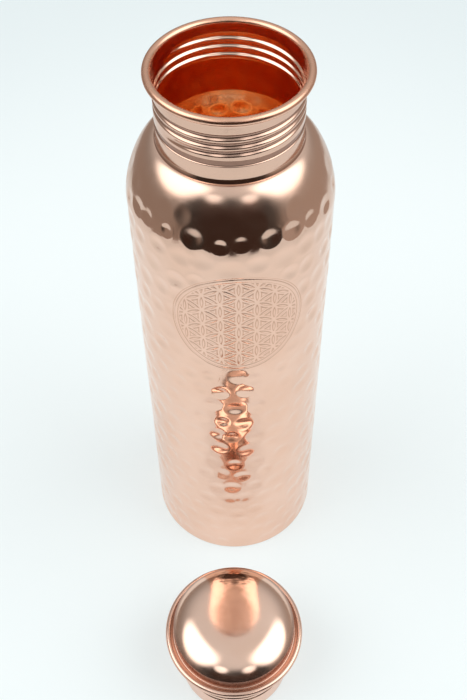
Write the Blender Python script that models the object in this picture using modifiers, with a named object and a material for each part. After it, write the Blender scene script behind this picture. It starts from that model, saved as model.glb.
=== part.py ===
"""Copper water bottle with a rolled-thread neck and its screw lid standing beside it.

Metres, +Z up. The origin is the centre of the bottle's underside. The lid stands upright
on its plug in front of the bottle, towards -Y.
"""
from math import atan2, cos, hypot, pi, radians, sin

import bpy

# Bottle: the hammered wall and the spun shoulder
BODY_RADIUS = 0.0375
WALL_HEIGHT = 0.2011
SHOULDER_RISE = 0.0244
SHOULDER_ROUNDNESS = 1.64
BODY_SHEET = 0.0008

# Base pan, pressed from sheet and soldered inside the foot of the wall
PAN_SHEET = 0.0008
PAN_RIM_HEIGHT = 0.0040
PAN_CORNER = 0.0015

# Neck collar, its rolled thread and its curled lip
NECK_RADIUS = 0.0255
NECK_SHEET = 0.0005
FOOT_FLARE = 0.0005
FOOT_HEIGHT = 0.0010
PLAIN_COLLAR_HEIGHT = 0.0063
GROOVE_WIDTH = 0.0026
THREAD_BAND = 0.0012
THREAD_PITCH = 0.0032
THREAD_TURNS = 3.5
THREAD_START = radians(-90)
THREAD_DEPTH = 0.0007
LIP_RISE = 0.0042
LIP_FLARE = 0.0003
CURL_RADIUS = 0.00145
CURL_END = radians(-115)

# Lid: plug, gasket, rim ring and dome, with heights from the table that it stands on
THREAD_CLEARANCE = 0.0003
PLUG_SHEET = 0.0006
PLUG_CORNER = 0.0015
PLUG_HEIGHT = 0.0289
PLUG_FLANGE = 0.0026
PLUG_THREAD_START = 0.0100
PLUG_THREAD_TURNS = 3
GASKET_THICKNESS = 0.0016
GASKET_WIDTH = 0.0033
RIM_OVERHANG = 0.00125
BEAD_RADIUS = 0.00145
RIM_HEIGHT = 0.0055
RIM_BAND_INSET = 0.0043
RIM_WIDTH = 0.0060
BAND_HEIGHT = 0.0022
DOME_HEIGHT = 0.0070
DOME_FLATNESS = 4.5
DOME_SHEET = 0.0008
DOME_STEP = 0.00375
DOME_UNDERCUT = 0.0010
DOME_FOOT = 0.0024

# Where the lid stands, and the gap that soldered or resting pieces keep
LID_GAP = 0.02685
LID_OFFSET_X = -0.0012
FIT_GAP = 0.0003

STEPS = 36
ROWS_PER_PITCH = 4
SHOULDER_ROWS = 12
CROWN_ROWS = 12
MERGE = 0.00001

shoulder_top = WALL_HEIGHT + SHOULDER_RISE
collar_foot = shoulder_top + FIT_GAP
groove_low = collar_foot + PLAIN_COLLAR_HEIGHT
groove_high = groove_low + GROOVE_WIDTH
thread_low = groove_high + THREAD_BAND
thread_high = thread_low + THREAD_TURNS * THREAD_PITCH
collar_inside = NECK_RADIUS - NECK_SHEET
curl_centre = (collar_inside + LIP_FLARE + CURL_RADIUS, thread_high + LIP_RISE)
lip_radius = curl_centre[0] + CURL_RADIUS

rim_radius = lip_radius + RIM_OVERHANG
plug_radius = collar_inside - THREAD_DEPTH - THREAD_CLEARANCE
lid_y = -(BODY_RADIUS + LID_GAP + rim_radius)


def copper(name, colour, roughness):
    material = bpy.data.materials.new(name)
    material.use_nodes = True
    shader = material.node_tree.nodes["Principled BSDF"]
    shader.inputs["Base Color"].default_value = (*colour, 1)
    shader.inputs["Metallic"].default_value = 1
    shader.inputs["Roughness"].default_value = roughness
    return material


def silicone(name):
    material = bpy.data.materials.new(name)
    material.use_nodes = True
    shader = material.node_tree.nodes["Principled BSDF"]
    shader.inputs["Base Color"].default_value = (0.80, 0.80, 0.77, 1)
    shader.inputs["Roughness"].default_value = 0.45
    return material


def arc(centre, radius, start, end, count):
    """Points on a circle in the profile plane, from one angle to another."""
    angles = [start + (end - start) * i / count for i in range(count + 1)]
    return [(centre[0] + radius * cos(a), centre[1] + radius * sin(a)) for a in angles]


def rows(radius, low, high):
    """A straight run of a profile with the rows that a rolled thread needs."""
    count = max(1, round((high - low) / THREAD_PITCH * ROWS_PER_PITCH))
    return [(radius, low + (high - low) * i / count) for i in range(count + 1)]


def turned(name, profile, closed, sheet, material, axis):
    """Turns a profile about Z. An open profile is a face of sheet metal, which gets its
    thickness on the side away from that face; a closed one is solid."""
    mesh = bpy.data.meshes.new(name)
    edges = [(i, i + 1) for i in range(len(profile) - 1)]
    if closed:
        edges.append((len(profile) - 1, 0))
    mesh.from_pydata([(r, 0, z) for r, z in profile], edges, [])
    piece = bpy.data.objects.new(name, mesh)
    parts.objects.link(piece)
    piece.parent = axis
    mesh.materials.append(material)
    screw = piece.modifiers.new("Turn", "SCREW")
    screw.steps = STEPS
    screw.render_steps = STEPS
    screw.use_merge_vertices = True
    screw.merge_threshold = MERGE
    screw.use_smooth_shade = True
    if sheet:
        solidify = piece.modifiers.new("Sheet", "SOLIDIFY")
        solidify.thickness = sheet
        solidify.offset = -1
        solidify.use_even_offset = True
    return piece


def roll_thread(piece, low, high, outward):
    """Rolls a right-hand helical thread into a turned sheet: both faces move alike, so the
    sheet keeps its thickness. The thread grows outward or inward."""
    bpy.context.view_layer.update()
    evaluated = piece.evaluated_get(bpy.context.evaluated_depsgraph_get())
    mesh = bpy.data.meshes.new_from_object(evaluated)
    piece.modifiers.clear()
    piece.data = mesh
    run_out = THREAD_PITCH / 2
    for vertex in mesh.vertices:
        x, y, z = vertex.co
        distance = hypot(x, y)
        if not low < z < high:
            continue
        turn = (z - low) / THREAD_PITCH - (atan2(y, x) - THREAD_START) / (2 * pi)
        wave = 0.5 - 0.5 * cos(2 * pi * turn)
        fade = min(1, (z - low) / run_out, (high - z) / run_out)
        move = THREAD_DEPTH * wave * fade * (1 if outward else -1)
        scale = 1 + move / distance
        vertex.co = (x * scale, y * scale, z)
    mesh.shade_smooth()


def body_shell(axis):
    power = 2 / SHOULDER_ROUNDNESS
    shoulder = []
    for i in range(SHOULDER_ROWS + 1):
        angle = pi / 2 * i / SHOULDER_ROWS
        shoulder.append((
            NECK_RADIUS + (BODY_RADIUS - NECK_RADIUS) * sin(angle) ** power,
            WALL_HEIGHT + SHOULDER_RISE * max(cos(angle), 0) ** power,
        ))
    mouth = (collar_inside, shoulder_top)
    profile = [mouth, *shoulder, (BODY_RADIUS, WALL_HEIGHT / 2), (BODY_RADIUS, 0)]
    colour = copper("wall_copper", (0.86, 0.52, 0.38), 0.16)
    return turned("body_shell", profile, False, BODY_SHEET, colour, axis)


def base_pan(axis):
    radius = BODY_RADIUS - BODY_SHEET - FIT_GAP
    corner = (radius - PAN_CORNER, PAN_CORNER)
    profile = [(radius, PAN_RIM_HEIGHT), *arc(corner, PAN_CORNER, 0, -pi / 2, 4), (0, 0)]
    colour = copper("base_copper", (0.80, 0.46, 0.33), 0.28)
    return turned("base_pan", profile, False, PAN_SHEET, colour, axis)


def neck_collar(axis):
    groove_flank = GROOVE_WIDTH * 0.3
    groove_floor = collar_inside - THREAD_DEPTH
    profile = [
        (collar_inside + FOOT_FLARE, collar_foot),
        (collar_inside, collar_foot + FOOT_HEIGHT),
        (collar_inside, groove_low),
        (groove_floor, groove_low + groove_flank),
        (groove_floor, groove_high - groove_flank),
        (collar_inside, groove_high),
        *rows(collar_inside, thread_low, thread_high),
        *arc(curl_centre, CURL_RADIUS, pi, CURL_END, 10),
    ]
    colour = copper("collar_copper", (0.88, 0.56, 0.42), 0.14)
    piece = turned("neck_collar", profile, False, NECK_SHEET, colour, axis)
    roll_thread(piece, thread_low, thread_high, outward=False)
    return piece


def lid_plug(axis):
    thread_top = PLUG_THREAD_START + PLUG_THREAD_TURNS * THREAD_PITCH
    corner = (plug_radius - PLUG_CORNER, PLUG_CORNER)
    profile = [
        (plug_radius + PLUG_FLANGE, PLUG_HEIGHT),
        (plug_radius, PLUG_HEIGHT),
        *reversed(rows(plug_radius, PLUG_THREAD_START, thread_top)),
        *arc(corner, PLUG_CORNER, 0, -pi / 2, 3),
        (0, 0),
    ]
    colour = copper("plug_copper", (0.84, 0.50, 0.37), 0.20)
    piece = turned("lid_plug", profile, False, PLUG_SHEET, colour, axis)
    roll_thread(piece, PLUG_THREAD_START, thread_top, outward=True)
    return piece


def lid_gasket(axis):
    inner = plug_radius + FIT_GAP
    outer = inner + GASKET_WIDTH
    top = PLUG_HEIGHT - FIT_GAP
    low = top - GASKET_THICKNESS
    profile = [(outer, top), (outer, low), (inner, low), (inner, top)]
    return turned("lid_gasket", profile, True, 0, silicone("gasket_silicone"), axis)


def lid_rim(axis):
    low = PLUG_HEIGHT + PLUG_SHEET + FIT_GAP
    bead = (rim_radius - BEAD_RADIUS, low + BEAD_RADIUS)
    top = low + RIM_HEIGHT
    band = rim_radius - RIM_BAND_INSET
    inner = rim_radius - RIM_WIDTH
    groove = bead[0] - BEAD_RADIUS * cos(radians(20))
    profile = [
        (inner, top),
        (band, top),
        (band + 0.0002, top - BAND_HEIGHT),
        (groove, bead[1] + BEAD_RADIUS * sin(radians(20))),
        *arc(bead, BEAD_RADIUS, radians(120), -pi / 2, 7),
        (inner, low),
    ]
    colour = copper("rim_copper", (0.86, 0.52, 0.38), 0.15)
    return turned("lid_rim", profile, True, 0, colour, axis)


def lid_dome(axis):
    foot = PLUG_HEIGHT + PLUG_SHEET + FIT_GAP + RIM_HEIGHT + FIT_GAP
    radius = rim_radius - DOME_STEP
    equator = foot + DOME_FOOT
    crown = []
    for i in range(CROWN_ROWS + 1):
        reach = sin(pi / 2 * i / CROWN_ROWS)
        crown.append((radius * reach, equator + DOME_HEIGHT * (1 - reach ** DOME_FLATNESS)))
    profile = [*crown, (radius - DOME_UNDERCUT * 0.4, foot + DOME_FOOT * 0.45),
               (radius - DOME_UNDERCUT, foot)]
    colour = copper("dome_copper", (0.88, 0.55, 0.42), 0.08)
    return turned("lid_dome", profile, False, DOME_SHEET, colour, axis)


def empty(name, x, y):
    guide = bpy.data.objects.new(name, None)
    guide.location = (x, y, 0)
    guide.hide_render = True
    parts.objects.link(guide)
    return guide


for old in list(bpy.data.objects):
    bpy.data.objects.remove(old)
parts = bpy.data.collections.new("copper_water_bottle")
bpy.context.scene.collection.children.link(parts)

bottle_axis = empty("bottle_axis", 0, 0)
lid_axis = empty("lid_axis", LID_OFFSET_X, lid_y)
body_shell(bottle_axis)
base_pan(bottle_axis)
neck_collar(bottle_axis)
lid_plug(lid_axis)
lid_gasket(lid_axis)
lid_rim(lid_axis)
lid_dome(lid_axis)
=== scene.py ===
"""Looks of the hammered copper water bottle and its lid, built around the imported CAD.

Every piece is turned about the bottle's axis or the lid's from a profile, then shaped in
mesh code: hammer marks, the engraved rosette and the rolled threads are real geometry.
"""
from math import cos, pi, radians, sin, sqrt

import bmesh
import bpy
import numpy as np
from mathutils import Matrix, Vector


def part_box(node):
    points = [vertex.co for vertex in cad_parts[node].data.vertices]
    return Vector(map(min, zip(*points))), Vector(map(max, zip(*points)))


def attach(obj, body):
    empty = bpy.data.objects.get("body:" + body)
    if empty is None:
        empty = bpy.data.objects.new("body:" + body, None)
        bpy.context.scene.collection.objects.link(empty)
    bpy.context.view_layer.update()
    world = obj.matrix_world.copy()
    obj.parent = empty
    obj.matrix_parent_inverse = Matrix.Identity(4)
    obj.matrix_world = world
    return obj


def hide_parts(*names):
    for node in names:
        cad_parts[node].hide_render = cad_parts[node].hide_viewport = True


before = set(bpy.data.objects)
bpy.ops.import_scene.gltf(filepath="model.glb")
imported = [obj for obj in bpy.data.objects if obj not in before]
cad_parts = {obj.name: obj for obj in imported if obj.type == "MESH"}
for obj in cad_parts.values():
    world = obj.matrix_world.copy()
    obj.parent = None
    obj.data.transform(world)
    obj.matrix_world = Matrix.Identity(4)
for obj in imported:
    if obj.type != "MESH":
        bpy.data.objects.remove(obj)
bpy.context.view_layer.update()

MM = 0.001
SHELL_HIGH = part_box("body_shell")[1]
PAN_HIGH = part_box("base_pan")[1]
NECK_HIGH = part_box("neck_collar")[1]
PLUG_LOW, PLUG_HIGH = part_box("lid_plug")
GASKET_LOW, GASKET_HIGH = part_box("lid_gasket")
RIM_LOW, RIM_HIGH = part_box("lid_rim")
DOME_LOW, DOME_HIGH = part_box("lid_dome")

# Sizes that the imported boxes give
BODY_RADIUS = SHELL_HIGH.x
SHOULDER_TOP = SHELL_HIGH.z
LIP_TOP = NECK_HIGH.z
LIP_RADIUS = NECK_HIGH.x
BOTTLE_AXIS = (0.0, 0.0)
LID_AXIS = ((PLUG_LOW.x + PLUG_HIGH.x) / 2, (PLUG_LOW.y + PLUG_HIGH.y) / 2)

# Sizes that the solids have and the boxes don't show
BODY_SHEET = 0.8 * MM
SHOULDER_RISE = 24.4 * MM
SHOULDER_ROUNDNESS = 1.64
COLLAR_RADIUS = 25.5 * MM
COLLAR_SHEET = 0.5 * MM
GROOVE_LOW = SHOULDER_TOP + 6.6 * MM
GROOVE_HIGH = GROOVE_LOW + 2.6 * MM
THREAD_LOW = GROOVE_HIGH + 1.2 * MM
THREAD_PITCH = 3.2 * MM
THREAD_HIGH = THREAD_LOW + 3.5 * THREAD_PITCH
THREAD_DEPTH = 0.7 * MM
THREAD_START = radians(-150)
THREAD_FIRST = THREAD_LOW + 1.07 * MM
NECK_TURNS = 2.85
GROOVE_DEPTH = 0.35 * MM
GROOVE_EDGE = 0.35 * MM
FOOT_FLARE = 0.5 * MM
CURL_RADIUS = 1.45 * MM
CURL_END = radians(-115)
PAN_SHEET = 0.8 * MM
PAN_CORNER = 1.5 * MM
PLUG_RADIUS = 24.0 * MM
PLUG_SHEET = 0.6 * MM
PLUG_CORNER = 1.5 * MM
PLUG_NECK_BEND = 0.4 * MM
PLUG_THREAD_LOW = 10.0 * MM
PLUG_THREAD_HIGH = 19.6 * MM
PLUG_TURNS = 2.4
GASKET_SLACK = 0.3 * MM
GASKET_ROUNDING = 0.35 * MM
BEAD_RADIUS = 1.45 * MM
RIM_BAND_INSET = 4.3 * MM
RIM_WIDTH = 6.0 * MM
RIM_GROOVE_INSET = 2.85 * MM
RIM_GROOVE_RADIUS = 0.45 * MM
DOME_FLATNESS = 4.5
DOME_FOOT = 2.4 * MM
DOME_UNDERCUT = 1.0 * MM
DOME_SHEET = 0.8 * MM

# Hammer marks: rows up the wall, each offset by half a mark from the one below
MARKS_AROUND = 26
ROW_PITCH = 10.2 * MM
EDGE_ROW = 208.9 * MM
MARK_RADIUS = 4.1 * MM
EDGE_MARK_RADIUS = 3.6 * MM
MARK_DEPTH = 0.40 * MM
EDGE_MARK_DEPTH = 0.54 * MM
STRAY_MARK_SHARE = 0.55
STRAY_ROW_SHARE = 0.66
DEPTH_SCATTER = 0.22
EDGE_DEPTH_SCATTER = 0.15
SIZE_SCATTER = 0.09
TURN_SCATTER = 0.15
STRETCH_SCATTER = 0.06
HEIGHT_SCATTER = 0.95 * MM
RIDGE_SHARE = 0.07
WAVE_DEPTH = 0.035 * MM
WAVE_END = (215 * MM, 222 * MM)
SPUN_FROM = (207 * MM, 214 * MM)
MARKS_SEED = 20

# Engraved rosette on the front of the wall
ROSETTE_ANGLE = radians(-86.5)
ROSETTE_HEIGHT = 167.8 * MM
ROSETTE_RADIUS = 25.6 * MM
ROSETTE_INNER = 23.0 * MM
PETAL_RADIUS = 7.7 * MM
STROKE = 0.52 * MM
STROKE_EDGE = 0.24 * MM
STROKE_DEPTH = 0.10 * MM
ROSETTE_CALM = 0.8

# Camera
CAMERA_PLACE = (0.0, -0.27284, 0.44675)
CAMERA_PITCH = radians(90 - 51.188)
CAMERA_YAW = radians(-0.059)
CAMERA_ROLL = radians(-0.7407)
CAMERA_LENS = 51.906

# Grid steps of the shell: fine at the rosette, coarse on the wall, middling on the shoulder
FINE_STEP = 0.22 * MM
WALL_STEP = 0.8 * MM
SHOULDER_STEP = 0.6 * MM
INNER_STEP = 0.7 * MM

# Colours
PALE = (0.90, 0.625, 0.50)
ROSY = (0.86, 0.575, 0.445)
# Painted shade: the brown that darkens the collar's groove, crease and thread, the band under the
# lid's dome and the dome's edge.
PAINTED_SHADE = (0.42, 0.25, 0.19)
# Painted shade for the walls of the engraved strokes.
STROKE_SHADE = (0.58, 0.33, 0.23)
# The inside's own warmer copper, set brighter than the outside's as painted light.
INSIDE_BRIGHTENED = (0.985, 0.745, 0.485)
# Painted shade that dims the highlights on the spun shoulder.
SHOULDER_SHADE = (0.80, 0.54, 0.42)
COLLAR = (0.88, 0.59, 0.46)
LIP = (0.84, 0.475, 0.33)
BASE_DULL = (0.82, 0.50, 0.38)
PLUG_DULL = (0.84, 0.53, 0.41)
# The rim's copper is set darker and browner than the wall's, as painted shade on the bead; its two
# tints differ at random.
RIM_SHADED = (0.80, 0.53, 0.42)
RIM_SHADED_DULL = (0.70, 0.44, 0.34)
SILICONE = (0.80, 0.80, 0.77)
SILICONE_DUST = (0.70, 0.70, 0.66)
TABLE_WHITE = (0.85, 0.88, 0.875)
TABLE_EDGE = (0.45, 0.475, 0.48)
BACKDROP_WHITE = (0.855, 0.91, 0.915)
BACKDROP_EDGE = (0.60, 0.665, 0.685)
BACKDROP_FAR = (0.79, 0.855, 0.87)
SELF_LIT = 0.5

# Studio: each light's azimuth, elevation, radius and soft edge in degrees, and strength
LIGHTS = ((-168, 43, 28, 7, 1.85), (-12, 42, 28, 7, 1.85),
          (-112, 38, 8, 3, 1.4), (-66, 36, 8, 3, 1.4))
# The dark front and its warm lower middle: azimuth, half width, lowest and highest
# elevation and soft edge, in degrees
DARK_FRONT = (-90, 52, -60, 42, 9)
WARM_FRONT = (-90, 34, -60, 27, 8)
DARK_FRONT_SHARE = 0.88
SIDE_SLOPE = 0.15
ROOM_LEVELS = (0.36, 0.76)
LOW_TINT = (1.0, 0.86, 0.76)
HIGH_TINT = (0.97, 1.0, 1.0)
WARM_TINT = (1.0, 0.60, 0.45)
LIGHT_BOUNCES = 28


def arc(centre, radius, start, end, count):
    angles = np.linspace(start, end, count + 1)
    return np.stack([centre[0] + radius * np.cos(angles), centre[1] + radius * np.sin(angles)], 1)


def line(start, end, count):
    t = np.linspace(0, 1, count + 1)[:, None]
    return np.array(start) * (1 - t) + np.array(end) * t


def joined(*runs):
    """One outline from several runs, without the points that repeat."""
    points = np.concatenate([np.atleast_2d(np.array(run, float)) for run in runs])
    keep = [0]
    for i in range(1, len(points)):
        if np.hypot(*(points[i] - points[keep[-1]])) > 1e-6:
            keep.append(i)
    return points[keep]


def normals(outline):
    """Unit normals of an outline in the profile plane, on the left of its direction."""
    step = np.gradient(outline, axis=0)
    step /= np.maximum(np.hypot(step[:, 0], step[:, 1]), 1e-12)[:, None]
    return np.stack([-step[:, 1], step[:, 0]], 1)


def smoothstep(low, high, x):
    t = np.clip((x - low) / (high - low), 0, 1)
    return t * t * (3 - 2 * t)


def skin(name, radius, height, angles, axis, material, masks):
    """A closed mesh from a grid of radii and heights: one row for each point of the
    outline, whose last row joins its first, and one column for each angle. A row on the
    axis becomes one point."""
    rows, columns = radius.shape
    middle = np.stack([radius.mean(1), height.mean(1)], 1)
    length = np.concatenate([[0], np.cumsum(np.hypot(*np.diff(middle, axis=0).T))])
    masks = {**masks, "along": np.repeat(length[:, None], columns, 1)}
    x = axis[0] + radius * np.cos(angles)
    y = axis[1] + radius * np.sin(angles)
    points = np.stack([x, y, height], -1).reshape(-1, 3)
    i, j = np.meshgrid(np.arange(rows), np.arange(columns), indexing="ij")
    next_i, next_j = (i + 1) % rows, (j + 1) % columns
    quads = np.stack([i * columns + j, next_i * columns + j, next_i * columns + next_j,
                      i * columns + next_j], -1).reshape(-1, 4)
    mesh = bpy.data.meshes.new(name)
    mesh.vertices.add(len(points))
    mesh.vertices.foreach_set("co", points.astype(np.float32).ravel())
    mesh.loops.add(quads.size)
    mesh.loops.foreach_set("vertex_index", quads.astype(np.int32).ravel())
    mesh.polygons.add(len(quads))
    mesh.polygons.foreach_set("loop_start", np.arange(0, quads.size, 4, dtype=np.int32))
    mesh.update(calc_edges=True)
    for mask, values in masks.items():
        layer = mesh.attributes.new(mask, "FLOAT", "POINT")
        layer.data.foreach_set("value", values.astype(np.float32).ravel())
    mesh.validate()
    piece = bpy.data.objects.new(name, mesh)
    bpy.context.scene.collection.objects.link(piece)
    mesh.materials.append(material)
    weld_axis(mesh, axis)
    mesh.shade_smooth()
    return piece


def weld_axis(mesh, axis):
    """Makes one point of each ring that has shrunk onto the axis."""
    shape = bmesh.new()
    shape.from_mesh(mesh)
    on_axis = [v for v in shape.verts
               if abs(v.co.x - axis[0]) < 1e-7 and abs(v.co.y - axis[1]) < 1e-7]
    if on_axis:
        bmesh.ops.remove_doubles(shape, verts=on_axis, dist=1e-6)
    shape.to_mesh(mesh)
    shape.free()


def turned(name, outline, columns, axis, material, move=None, masks=None):
    """A turned piece. The outline runs down its outer side. move(angle, height, radius)
    gives how far each point moves away from the axis."""
    angles = np.linspace(0, 2 * pi, columns, endpoint=False)
    radius = np.repeat(outline[:, :1], columns, 1)
    height = np.repeat(outline[:, 1:], columns, 1)
    masks = {key: mask(angles[None, :], height, radius) for key, mask in (masks or {}).items()}
    if move:
        radius = radius + move(angles[None, :], height, radius)
    return skin(name, radius, height, angles[None, :], axis, material, masks)


def sheet_outline(face, thickness):
    """The closed outline of bent sheet metal: one face, then the other coming back. The
    metal is on the right of the face's direction."""
    other = face - normals(face) * thickness
    return np.concatenate([face, other[::-1]])


def thread(angle, height, first, turns, flank=(0.15, 0.85)):
    """A right-hand helix from 0 to 1 across each turn, which starts at the first height and
    fades out at both ends. flank says where its side begins and ends, in half pitches."""
    part = ((angle - THREAD_START) / (2 * pi)) % 1
    turn = part + np.round((height - first) / THREAD_PITCH - part)
    away = np.abs((height - first) / THREAD_PITCH - turn) * 2
    ends = smoothstep(0, 0.12, turn) * (1 - smoothstep(turns - 0.12, turns, turn))
    return (1 - smoothstep(*flank, away)) * ends


# Materials

class Nodes:
    """Short ways to add and join nodes in one node tree."""

    def __init__(self, tree):
        self.tree = tree

    def add(self, kind, **inputs):
        node = self.tree.nodes.new(kind)
        for key, value in inputs.items():
            self.set(node, key, value)
        return node

    def set(self, node, key, value):
        if hasattr(node, key):
            setattr(node, key, value)
            return
        socket = node.inputs[key.replace("_", " ")]
        if isinstance(value, bpy.types.NodeSocket):
            self.tree.links.new(value, socket)
        else:
            socket.default_value = value

    def math(self, operation, a, b):
        node = self.tree.nodes.new("ShaderNodeMath")
        node.operation = operation
        for socket, value in zip(node.inputs, (a, b)):
            if isinstance(value, bpy.types.NodeSocket):
                self.tree.links.new(value, socket)
            else:
                socket.default_value = value
        return node.outputs[0]

    def ramp(self, value, low, high, start=0.0, end=1.0):
        node = self.tree.nodes.new("ShaderNodeMapRange")
        node.interpolation_type = "SMOOTHSTEP"
        self.tree.links.new(value, node.inputs["Value"])
        limits = {"From Min": low, "From Max": high, "To Min": start, "To Max": end}
        for key, number in limits.items():
            node.inputs[key].default_value = number
        return node.outputs["Result"]

    def mix(self, factor, a, b):
        node = self.tree.nodes.new("ShaderNodeMix")
        node.data_type = "RGBA"
        for socket, value in ((node.inputs[0], factor), (node.inputs[6], a), (node.inputs[7], b)):
            if isinstance(value, bpy.types.NodeSocket):
                self.tree.links.new(value, socket)
            else:
                socket.default_value = (*value, 1) if isinstance(value, tuple) else value
        return node.outputs[2]


def stretched(nodes, place, stretch, detail):
    """Noise of the object's own coordinates, stretched differently along each axis."""
    mapping = nodes.tree.nodes.new("ShaderNodeMapping")
    nodes.tree.links.new(place, mapping.inputs["Vector"])
    mapping.inputs["Scale"].default_value = stretch
    noise = nodes.tree.nodes.new("ShaderNodeTexNoise")
    nodes.tree.links.new(mapping.outputs[0], noise.inputs["Vector"])
    noise.inputs["Scale"].default_value = 1.0
    noise.inputs["Detail"].default_value = detail
    return noise.outputs[0]


def copper(name, bright, dull, roughness, scratches, masks=()):
    """Polished copper: slow changes of tint and roughness, fine scratches that run around
    the piece, and another tint and added roughness where a mask says so; the masks carry painted
    shade, painted light and some of the metal's own tints."""
    material = bpy.data.materials.new(name)
    material.use_nodes = True
    nodes = Nodes(material.node_tree)
    shader = material.node_tree.nodes["Principled BSDF"]
    place = nodes.add("ShaderNodeTexCoord").outputs["Object"]
    cloud = stretched(nodes, place, (45, 45, 45), 3)
    smear = stretched(nodes, place, (260, 260, 190), 4)
    tint = nodes.mix(nodes.ramp(cloud, 0.30, 0.72), bright, dull)
    rough = nodes.ramp(smear, 0.3, 0.75, roughness, roughness * 1.5)
    for mask, colour, added in masks:
        layer = nodes.add("ShaderNodeAttribute", attribute_name=mask).outputs["Fac"]
        tint = nodes.mix(layer, tint, colour)
        rough = nodes.math("ADD", rough, nodes.math("MULTIPLY", layer, added))
    nodes.set(shader, "Base_Color", tint)
    nodes.set(shader, "Roughness", rough)
    shader.inputs["Metallic"].default_value = 1.0
    split = nodes.add("ShaderNodeSeparateXYZ", Vector=place)
    along = nodes.add("ShaderNodeAttribute", attribute_name="along").outputs["Fac"]
    around = nodes.add("ShaderNodeCombineXYZ", X=split.outputs["X"], Y=split.outputs["Y"], Z=along)
    lines = stretched(nodes, around.outputs[0], (60, 60, 5200), 3)
    grain = stretched(nodes, place, (2600, 2600, 2600), 2)
    bump = nodes.tree.nodes.new("ShaderNodeBump")
    bump.inputs["Strength"].default_value = scratches
    bump.inputs["Distance"].default_value = 0.02 * MM
    height = nodes.math("ADD", lines, nodes.math("MULTIPLY", grain, 0.25))
    nodes.tree.links.new(height, bump.inputs["Height"])
    nodes.tree.links.new(bump.outputs[0], shader.inputs["Normal"])
    return material


def silicone(name):
    material = bpy.data.materials.new(name)
    material.use_nodes = True
    nodes = Nodes(material.node_tree)
    shader = material.node_tree.nodes["Principled BSDF"]
    place = nodes.add("ShaderNodeTexCoord").outputs["Object"]
    dust = stretched(nodes, place, (900, 900, 900), 4)
    nodes.set(shader, "Base_Color", nodes.mix(nodes.ramp(dust, 0.4, 0.7), SILICONE, SILICONE_DUST))
    nodes.set(shader, "Roughness", nodes.ramp(dust, 0.3, 0.7, 0.38, 0.55))
    shader.inputs["Subsurface Weight"].default_value = 0.15
    shader.inputs["Subsurface Radius"].default_value = (0.002, 0.002, 0.002)
    return material


# Bottle

def wall_outline():
    """The outer face of the shell from its mouth to its foot, as dense rows: finer where
    the rosette is engraved. Also the length along the face from the foot, for each row."""
    power = 2 / SHOULDER_ROUNDNESS
    width = BODY_RADIUS - COLLAR_RADIUS
    shoulder = [(COLLAR_RADIUS + width * sin(t) ** power,
                 SHOULDER_TOP - SHOULDER_RISE + SHOULDER_RISE * max(cos(t), 0) ** power)
                for t in np.linspace(0, pi / 2, 400)]
    foot = 0.4 * MM
    mouth = COLLAR_RADIUS - COLLAR_SHEET
    path = joined([(mouth, SHOULDER_TOP - 0.3 * MM), (mouth + 0.3 * MM, SHOULDER_TOP)], shoulder,
                  [(BODY_RADIUS, foot)], arc((BODY_RADIUS - foot, foot), foot, 0, -pi / 2, 4))
    length = np.concatenate([[0], np.cumsum(np.hypot(*np.diff(path, axis=0).T))])
    total = length[-1]
    above = SHOULDER_TOP - SHOULDER_RISE
    bottom = ROSETTE_HEIGHT - ROSETTE_RADIUS - MM
    top = ROSETTE_HEIGHT + ROSETTE_RADIUS + MM
    from_foot = np.concatenate([
        np.linspace(0, 1.0 * MM, 6)[:-1],
        np.arange(1.0 * MM, bottom, WALL_STEP),
        np.arange(bottom, top, FINE_STEP),
        np.arange(top, above, WALL_STEP),
        np.arange(above, total, SHOULDER_STEP), [total]])
    along = (total - from_foot)[::-1]
    radius = np.interp(along, length, path[:, 0])
    height = np.interp(along, length, path[:, 1])
    return np.stack([radius, height], 1), total - along


def wall_angles():
    """The shell's columns, finer across the rosette."""
    fine = FINE_STEP / BODY_RADIUS
    coarse = WALL_STEP / BODY_RADIUS
    half = (ROSETTE_RADIUS + MM) / BODY_RADIUS
    near = np.arange(-half, half, fine)
    count = int((2 * pi - 2 * half) / coarse)
    far = np.linspace(near[-1] + fine, 2 * pi - half, count, endpoint=False)
    return ROSETTE_ANGLE + np.concatenate([near, far])


def hammer_marks(angles, radius, along):
    """How deep the metal is pressed in at each point of the wall's grid. Row 0 is the
    shoulder's edge, and the few marks of row -1 stray above it."""
    random = np.random.default_rng(MARKS_SEED)
    depth = np.zeros((len(along), len(angles)))
    rows = int(EDGE_ROW / ROW_PITCH)
    for row in range(-1, rows + 1):
        centre_height = EDGE_ROW - row * ROW_PITCH * (STRAY_ROW_SHARE if row < 0 else 1)
        for k in range(MARKS_AROUND):
            jitter = random.normal(0, 1, 5)
            if row < 0 and k % 3 == 0:
                continue
            deep = MARK_DEPTH * (1 + DEPTH_SCATTER * jitter[0])
            size = MARK_RADIUS * (1 + SIZE_SCATTER * jitter[1])
            if row == 0:
                deep = EDGE_MARK_DEPTH * (1 + EDGE_DEPTH_SCATTER * jitter[0])
                size = EDGE_MARK_RADIUS * (1 + SIZE_SCATTER * jitter[1])
            if row < 0:
                deep = MARK_DEPTH * STRAY_MARK_SHARE
            angle = (k + 0.5 * (row % 2) + TURN_SCATTER * jitter[2]) * 2 * pi / MARKS_AROUND
            height = centre_height + HEIGHT_SCATTER * jitter[3]
            if height < size:
                continue
            near = np.abs(along - height) < 1.5 * size
            turn = (angles - angle + pi) % (2 * pi) - pi
            close = np.abs(turn) * BODY_RADIUS < 1.7 * size
            if not near.any():
                continue
            wide = 1 + STRETCH_SCATTER * jitter[4]
            dx = turn[close][None, :] * radius[near][:, None] / wide
            dy = (along[near] - height)[:, None]
            away = np.hypot(dx, dy) / size
            dent = np.where(away < 1, (1 - np.minimum(away, 1) ** 2) ** 1.7, 0)
            ridge = RIDGE_SHARE * np.exp(-((away - 1.12) / 0.13) ** 2)
            depth[np.ix_(near, close)] += deep * (dent - ridge)
    return depth


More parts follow.
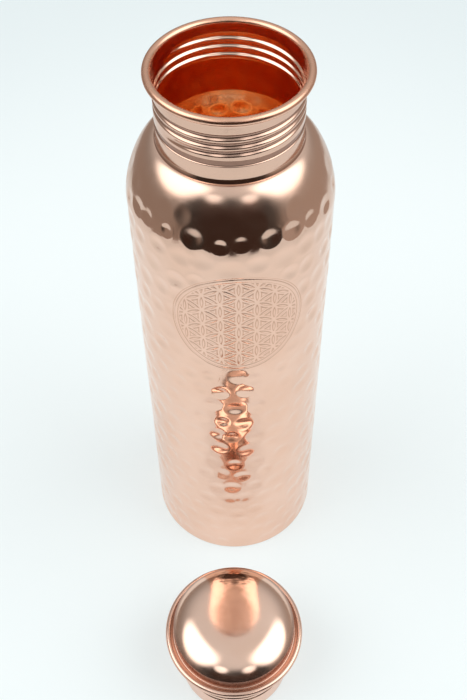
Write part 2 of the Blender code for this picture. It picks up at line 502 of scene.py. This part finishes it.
def rosette(angles, along):
    """The engraved strokes, from 0 on plain metal to 1 in a stroke: two rings around a
    lattice of overlapping circles. Also how far each point is inside the outer ring."""
    u = ((angles - ROSETTE_ANGLE + pi) % (2 * pi) - pi)[None, :] * BODY_RADIUS
    v = (along - ROSETTE_HEIGHT)[:, None]
    away = np.hypot(u, v)
    strokes = np.zeros(away.shape)
    near_rows = np.abs(v[:, 0]) < ROSETTE_RADIUS + MM
    near_columns = np.abs(u[0]) < ROSETTE_RADIUS + MM
    grid = np.ix_(near_rows, near_columns)
    u, v, r = np.broadcast_arrays(u[:, near_columns], v[near_rows], away[grid])
    lattice = np.full(r.shape, 1.0)
    for i in range(-4, 5):
        for j in range(-5, 6):
            x = i * PETAL_RADIUS * sqrt(3) / 2
            y = (j + 0.5 * (i % 2)) * PETAL_RADIUS
            if sqrt(x * x + y * y) < ROSETTE_INNER + PETAL_RADIUS:
                lattice = np.minimum(lattice, np.abs(np.hypot(u - x, v - y) - PETAL_RADIUS))
    lattice[r > ROSETTE_INNER] = 1.0
    for ring in (ROSETTE_RADIUS - STROKE, ROSETTE_INNER):
        lattice = np.minimum(lattice, np.abs(r - ring) * 1.3)
    strokes[grid] = 1 - smoothstep(STROKE - STROKE_EDGE, STROKE + STROKE_EDGE, lattice)
    inside = 1 - smoothstep(ROSETTE_RADIUS - 2 * MM, ROSETTE_RADIUS + 4 * MM, away)
    return strokes, inside


def hammered_shell():
    """The wall and shoulder as one sheet. Its inner face follows the outer one without the
    engraving, on fewer rows."""
    outline, along = wall_outline()
    angles = wall_angles()
    outward = normals(outline)
    marks = hammer_marks(angles, outline[:, 0], along)
    strokes, inside = rosette(angles, along)
    marks = marks * (1 - ROSETTE_CALM * inside)
    slow = (np.sin(3 * angles + 1.0)[None, :] * np.sin(along * 61)[:, None]
            + np.sin(7 * angles)[None, :] * np.sin(along * 113 + 2)[:, None])
    fade = smoothstep(0, 6 * MM, along) * (1 - smoothstep(*WAVE_END, along))
    press = marks + (WAVE_DEPTH * slow) * fade[:, None]
    outer = press + STROKE_DEPTH * strokes
    radius = outline[:, 0][:, None] - outward[:, 0][:, None] * outer
    height = outline[:, 1][:, None] - outward[:, 1][:, None] * outer
    rows = [0]
    for row in range(1, len(outline)):
        if along[rows[-1]] - along[row] > INNER_STEP or row == len(outline) - 1:
            rows.append(row)
    rows = np.array(rows[::-1])
    inner_press = press[rows] + BODY_SHEET
    inner_radius = outline[rows, 0][:, None] - outward[rows, 0][:, None] * inner_press
    inner_height = outline[rows, 1][:, None] - outward[rows, 1][:, None] * inner_press
    inner_radius[0] = BODY_RADIUS - BODY_SHEET
    inner_height[0] = 0
    # The spun shoulder is rougher, and painted darker as shade.
    spun_and_shaded = smoothstep(*SPUN_FROM, along)[:, None] + np.zeros(strokes.shape)
    inner_zero = np.zeros(inner_radius.shape)
    # The walls of the engraved strokes are painted darker as shade, and made rougher.
    masks = {"etched_and_shaded": np.concatenate([4 * strokes * (1 - strokes), inner_zero]),
             "inside": np.concatenate([np.zeros(strokes.shape), inner_zero + 1]),
             "spun_and_shaded": np.concatenate([spun_and_shaded, inner_zero])}
    # Painted shade on the stroke walls and the spun shoulder, painted light on the inside.
    material = copper("wall_copper", PALE, ROSY, 0.085, 0.12,
                      [("etched_and_shaded", STROKE_SHADE, 0.15), ("inside", INSIDE_BRIGHTENED, -0.03),
                       ("spun_and_shaded", SHOULDER_SHADE, 0.09)])
    return skin("hammered_shell", np.concatenate([radius, inner_radius]),
                np.concatenate([height, inner_height]), angles[None, :], BOTTLE_AXIS, material,
                masks)


def neck():
    """The collar: its thread is rolled through the sheet, and its groove is cut only into
    the outer face. The inner face runs down to cover the edge of the shell's mouth."""
    inside = COLLAR_RADIUS - COLLAR_SHEET
    flare_start = THREAD_HIGH + 1.0 * MM
    centre = (LIP_RADIUS - CURL_RADIUS, LIP_TOP - CURL_RADIUS)
    edge = GROOVE_EDGE
    foot = SHOULDER_TOP - 1.0 * MM
    face = joined(
        line((inside, foot), (inside, SHOULDER_TOP), 6),
        line((inside, SHOULDER_TOP), (inside, GROOVE_LOW - edge), 12),
        line((inside, GROOVE_LOW - edge), (inside, GROOVE_HIGH + edge), 28),
        line((inside, GROOVE_HIGH + edge), (inside, THREAD_HIGH), 110),
        line((inside, THREAD_HIGH), (inside, flare_start), 3),
        line((inside, flare_start), (centre[0] - CURL_RADIUS, centre[1]), 8),
        arc(centre, CURL_RADIUS, pi, CURL_END, 36),
    )

    def cut(height):
        into = smoothstep(0, edge, height - GROOVE_LOW)
        return into * (1 - smoothstep(-edge, 0, height - GROOVE_HIGH))

    def move(angle, height, radius):
        wall = radius < COLLAR_RADIUS + 0.1 * MM
        outer = wall * (radius > inside + COLLAR_SHEET / 2)
        flare = 1 - smoothstep(0.2 * MM, 1.1 * MM, height - SHOULDER_TOP)
        below = smoothstep(-1.0 * MM, -0.1 * MM, height - SHOULDER_TOP)
        rolled = THREAD_DEPTH * thread(angle, height, THREAD_FIRST, NECK_TURNS)
        return outer * (FOOT_FLARE * flare * below - GROOVE_DEPTH * cut(height)) - wall * rolled

    # Painted shade: the groove, the crease at the shoulder and the rolled thread are painted
    # darker.
    def dark(angle, height, radius):
        outer = radius > inside + COLLAR_SHEET / 2
        rolled = thread(angle, height, THREAD_FIRST, NECK_TURNS)
        crease = 1 - smoothstep(0.1 * MM, 0.9 * MM, np.abs(height - SHOULDER_TOP - 0.2 * MM))
        return outer * np.maximum(np.maximum(cut(height), 0.9 * crease), 0.8 * rolled)

    def lip(angle, height, radius):
        high = smoothstep(-2.4 * MM, -0.8 * MM, height - LIP_TOP)
        return high * smoothstep(0, 0.6 * MM, radius - inside)

    material = copper("collar_copper", COLLAR, ROSY, 0.10, 0.30,
                      [("lip", LIP, 0.14), ("groove", PAINTED_SHADE, 0.12)])
    return turned("threaded_neck", sheet_outline(face, COLLAR_SHEET)[::-1], 320, BOTTLE_AXIS,
                  material, move=move, masks={"groove": dark, "lip": lip})


def base():
    """The bottom: a shallow pan, open upwards."""
    radius, top, corner = PAN_HIGH.x, PAN_HIGH.z, PAN_CORNER
    face = joined(line((radius, top), (radius, corner), 4),
                  arc((radius - corner, corner), corner, 0, -pi / 2, 8),
                  line((radius - corner, 0), (0, 0), 40))
    material = copper("base_copper", ROSY, BASE_DULL, 0.20, 0.35)
    return turned("pressed_base", sheet_outline(face, PAN_SHEET), 192, BOTTLE_AXIS, material)


# Lid

def plug():
    """The cup under the lid: a flange, a wall with its thread rolled outwards, a bottom."""
    radius, corner, bend = PLUG_RADIUS, PLUG_CORNER, PLUG_NECK_BEND
    low, high = PLUG_THREAD_LOW, PLUG_THREAD_HIGH
    flange = PLUG_HIGH.x - LID_AXIS[0]
    top = PLUG_HIGH.z - PLUG_SHEET
    face = joined(line((flange, top), (radius + bend, top), 5),
                  arc((radius + bend, top - bend), bend, pi / 2, pi, 4),
                  line((radius, top - bend), (radius, high), 8),
                  line((radius, high), (radius, low), 70),
                  line((radius, low), (radius, corner), 8),
                  arc((radius - corner, corner), corner, 0, -pi / 2, 8),
                  line((radius - corner, 0), (0, 0), 30))

    def move(angle, height, radius):
        ridge = thread(angle, height, low + THREAD_PITCH / 2, PLUG_TURNS, (0.35, 0.90))
        return THREAD_DEPTH * ridge * (radius > 20 * MM)

    material = copper("plug_copper", ROSY, PLUG_DULL, 0.16, 0.30)
    return turned("threaded_plug", sheet_outline(face, PLUG_SHEET), 256, LID_AXIS, material,
                  move=move)


def gasket():
    """The silicone ring under the plug's flange, with rounded corners."""
    inner = PLUG_RADIUS + GASKET_SLACK
    outer = GASKET_HIGH.x - LID_AXIS[0]
    low, high, soft = GASKET_LOW.z, GASKET_HIGH.z, GASKET_ROUNDING
    outline = joined(arc((outer - soft, high - soft), soft, pi / 2, 0, 4),
                     arc((outer - soft, low + soft), soft, 0, -pi / 2, 4),
                     arc((inner + soft, low + soft), soft, -pi / 2, -pi, 4),
                     arc((inner + soft, high - soft), soft, pi, pi / 2, 4))
    return turned("seal_ring", outline, 160, LID_AXIS, silicone("gasket_silicone"))


def rim():
    """The ring around the lid: a plain band, a rounded groove and the rolled bead."""
    radius = RIM_HIGH.x - LID_AXIS[0]
    low, top = RIM_LOW.z, RIM_HIGH.z
    centre = (radius - BEAD_RADIUS, low + BEAD_RADIUS)
    band = radius - RIM_BAND_INSET
    inner = radius - RIM_WIDTH
    soft = 0.25 * MM
    groove = radius - RIM_GROOVE_INSET
    outline = joined([(inner, top)],
                     arc((band - soft, top - soft), soft, pi / 2, 0, 5),
                     line((band, top - soft), (band + 0.35 * MM, top - 2.1 * MM), 6),
                     arc((groove - RIM_GROOVE_RADIUS, centre[1] + 1.0 * MM), RIM_GROOVE_RADIUS,
                         pi, 1.9 * pi, 8),
                     arc(centre, BEAD_RADIUS, radians(135), -pi / 2, 28),
                     line((centre[0], low), (inner, low), 8),
                     line((inner, low), (inner, top), 4)[:-1])

    # Painted shade: the band and groove under the dome are painted darker.
    def dark(angle, height, radius):
        close = 1 - smoothstep(0.2 * MM, 1.4 * MM, radius - band)
        return close * smoothstep(0, MM, height - low)

    material = copper("rim_copper", RIM_SHADED, RIM_SHADED_DULL, 0.15, 0.20, [("groove", PAINTED_SHADE, 0.10)])
    return turned("lid_ring", outline, 320, LID_AXIS, material, masks={"groove": dark})


def dome():
    """The lid's top: a crown that is flat in the middle, and a foot tucked in under it."""
    radius = DOME_HIGH.x - LID_AXIS[0]
    foot, top = DOME_LOW.z, DOME_HIGH.z
    equator = foot + DOME_FOOT
    reach = np.sin(np.linspace(0, pi / 2, 70))
    crown = np.stack([radius * reach, top - (top - equator) * reach ** DOME_FLATNESS], 1)
    bend = np.linspace(0, pi / 2, 14)[1:]
    tuck = np.stack([radius - DOME_UNDERCUT * (1 - np.cos(bend)),
                     equator - (equator - foot) * np.sin(bend)], 1)
    outline = sheet_outline(joined(crown, tuck), DOME_SHEET)
    outline[-1, 0] = 0

    # Painted shade: the outer edge of the dome is painted darker brown.
    def painted_edge_shade(angle, height, distance):
        return smoothstep(0.93 * radius, 0.99 * radius, distance)

    material = copper("dome_copper", PALE, ROSY, 0.11, 0.14, [("edge", PAINTED_SHADE, 0.12)])
    return turned("polished_dome", outline, 320, LID_AXIS, material, masks={"edge": painted_edge_shade})


# Studio

def plain(name, white, far_white, near, far):
    """A matt white that gives half of its light by itself, so that contact shadows stay
    faint, as on a white sweep lit from all around. Its glow changes with the distance
    from the middle of the table."""
    material = bpy.data.materials.new(name)
    material.use_nodes = True
    shader = material.node_tree.nodes["Principled BSDF"]
    shader.inputs["Base Color"].default_value = (*(SELF_LIT * channel for channel in white), 1)
    shader.inputs["Roughness"].default_value = 0.6
    shader.inputs["Specular IOR Level"].default_value = 0.2
    shader.inputs["Emission Strength"].default_value = SELF_LIT
    nodes = Nodes(material.node_tree)
    place = nodes.add("ShaderNodeTexCoord").outputs["Object"]
    reach = nodes.tree.nodes.new("ShaderNodeVectorMath")
    reach.operation = "LENGTH"
    nodes.tree.links.new(place, reach.inputs[0])
    fall = nodes.mix(nodes.ramp(reach.outputs["Value"], near, far), white, far_white)
    nodes.set(shader, "Emission_Color", fall)
    return material


def flat(name, near, far, height, material):
    """A level rectangle of the studio between two corners."""
    corners = [(near[0], near[1], height), (far[0], near[1], height),
               (far[0], far[1], height), (near[0], far[1], height)]
    mesh = bpy.data.meshes.new(name)
    mesh.from_pydata(corners, [], [(0, 1, 2, 3)])
    mesh.materials.append(material)
    sheet = bpy.data.objects.new(name, mesh)
    bpy.context.scene.collection.objects.link(sheet)
    return sheet


def window(nodes, direction, azimuth, half_width, low, high, soft):
    """1 inside a patch of sky between two elevations, fading to 0 around it."""
    level = nodes.tree.nodes.new("ShaderNodeVectorMath")
    level.operation = "MULTIPLY"
    nodes.tree.links.new(direction, level.inputs[0])
    level.inputs[1].default_value = (1, 1, 0)
    unit = nodes.tree.nodes.new("ShaderNodeVectorMath")
    unit.operation = "NORMALIZE"
    nodes.tree.links.new(level.outputs[0], unit.inputs[0])
    dot = nodes.tree.nodes.new("ShaderNodeVectorMath")
    dot.operation = "DOT_PRODUCT"
    nodes.tree.links.new(unit.outputs[0], dot.inputs[0])
    dot.inputs[1].default_value = (cos(radians(azimuth)), sin(radians(azimuth)), 0)
    across = nodes.ramp(dot.outputs["Value"], cos(radians(half_width + soft)),
                        cos(radians(half_width - soft)))
    split = nodes.tree.nodes.new("ShaderNodeSeparateXYZ")
    nodes.tree.links.new(direction, split.inputs[0])
    over = nodes.ramp(split.outputs["Z"], sin(radians(low - soft)), sin(radians(low + soft)))
    under = nodes.ramp(split.outputs["Z"], sin(radians(high - soft)), sin(radians(high + soft)),
                       1, 0)
    return nodes.math("MULTIPLY", across, nodes.math("MULTIPLY", over, under))


def disc(nodes, direction, azimuth, height, radius, soft):
    """1 inside a round patch of sky of that angular radius, fading to 0 around it."""
    across, up = radians(azimuth), radians(height)
    towards = (cos(across) * cos(up), sin(across) * cos(up), sin(up))
    dot = nodes.tree.nodes.new("ShaderNodeVectorMath")
    dot.operation = "DOT_PRODUCT"
    nodes.tree.links.new(direction, dot.inputs[0])
    dot.inputs[1].default_value = towards
    return nodes.ramp(dot.outputs["Value"], cos(radians(radius + soft)),
                      cos(radians(radius - soft)))


def studio():
    """A dim room around a white table, lit by a broad soft light on each side and two small
    ones in front, above a dark front. The table is seen only in reflections and the
    backdrop only by the camera."""
    world = bpy.data.worlds.new("studio")
    bpy.context.scene.world = world
    world.use_nodes = True
    nodes = Nodes(world.node_tree)
    background = world.node_tree.nodes["Background"]
    direction = nodes.add("ShaderNodeTexCoord").outputs["Generated"]
    split = nodes.tree.nodes.new("ShaderNodeSeparateXYZ")
    nodes.tree.links.new(direction, split.inputs[0])
    up = split.outputs["Z"]
    level = nodes.ramp(up, sin(radians(5)), sin(radians(70)), *ROOM_LEVELS)
    shade = nodes.math("MULTIPLY", window(nodes, direction, *DARK_FRONT), DARK_FRONT_SHARE)
    level = nodes.math("MULTIPLY", level, nodes.math("SUBTRACT", 1.0, shade))
    side = nodes.math("ADD", 1.0, nodes.math("MULTIPLY", split.outputs["X"], SIDE_SLOPE))
    level = nodes.math("MULTIPLY", level, side)
    for *patch, strength in LIGHTS:
        glow = nodes.math("MULTIPLY", disc(nodes, direction, *patch), strength)
        level = nodes.math("ADD", level, glow)
    tint = nodes.mix(nodes.ramp(up, -0.2, 0.5), LOW_TINT, HIGH_TINT)
    tint = nodes.mix(window(nodes, direction, *WARM_FRONT), tint, WARM_TINT)
    seen = nodes.add("ShaderNodeLightPath").outputs["Is Camera Ray"]
    nodes.set(background, "Color", nodes.mix(seen, tint, BACKDROP_FAR))
    unseen = nodes.math("MULTIPLY", level, nodes.math("SUBTRACT", 1.0, seen))
    nodes.set(background, "Strength", nodes.math("ADD", unseen, seen))

    table = flat("table", (-0.36, -0.37), (0.40, 0.50), -0.4 * MM,
                 plain("white_table", TABLE_WHITE, TABLE_EDGE, 0.12, 0.36))
    table.visible_camera = False
    around = flat("backdrop", (-6, -6), (6, 6), 0,
                  plain("backdrop_white", BACKDROP_WHITE, BACKDROP_EDGE, 0.18, 0.50))
    around.visible_glossy = False
    around.visible_diffuse = False
    around.visible_shadow = False


def camera():
    data = bpy.data.cameras.new("camera")
    data.lens = CAMERA_LENS
    data.sensor_width = 36
    data.clip_start = 0.01
    eye = bpy.data.objects.new("camera", data)
    bpy.context.scene.collection.objects.link(eye)
    turn = (Matrix.Rotation(CAMERA_YAW, 4, "Z") @ Matrix.Rotation(CAMERA_PITCH, 4, "X")
            @ Matrix.Rotation(CAMERA_ROLL, 4, "Z"))
    eye.matrix_world = Matrix.Translation(CAMERA_PLACE) @ turn
    bpy.context.scene.camera = eye


def place(piece, body, node, slot):
    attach(piece, body)
    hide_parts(node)


camera()
studio()
place(hammered_shell(), "bottle", "body_shell", "wall_copper")
place(base(), "bottle", "base_pan", "base_copper")
place(neck(), "bottle", "neck_collar", "collar_copper")
place(plug(), "lid", "lid_plug", "plug_copper")
place(gasket(), "seal", "lid_gasket", "gasket_silicone")
place(rim(), "lid", "lid_rim", "rim_copper")
place(dome(), "lid", "lid_dome", "dome_copper")

view = bpy.context.scene.view_settings
view.view_transform = "Standard"
view.look = "None"
bpy.context.scene.cycles.max_bounces = LIGHT_BOUNCES
bpy.context.scene.cycles.glossy_bounces = LIGHT_BOUNCES
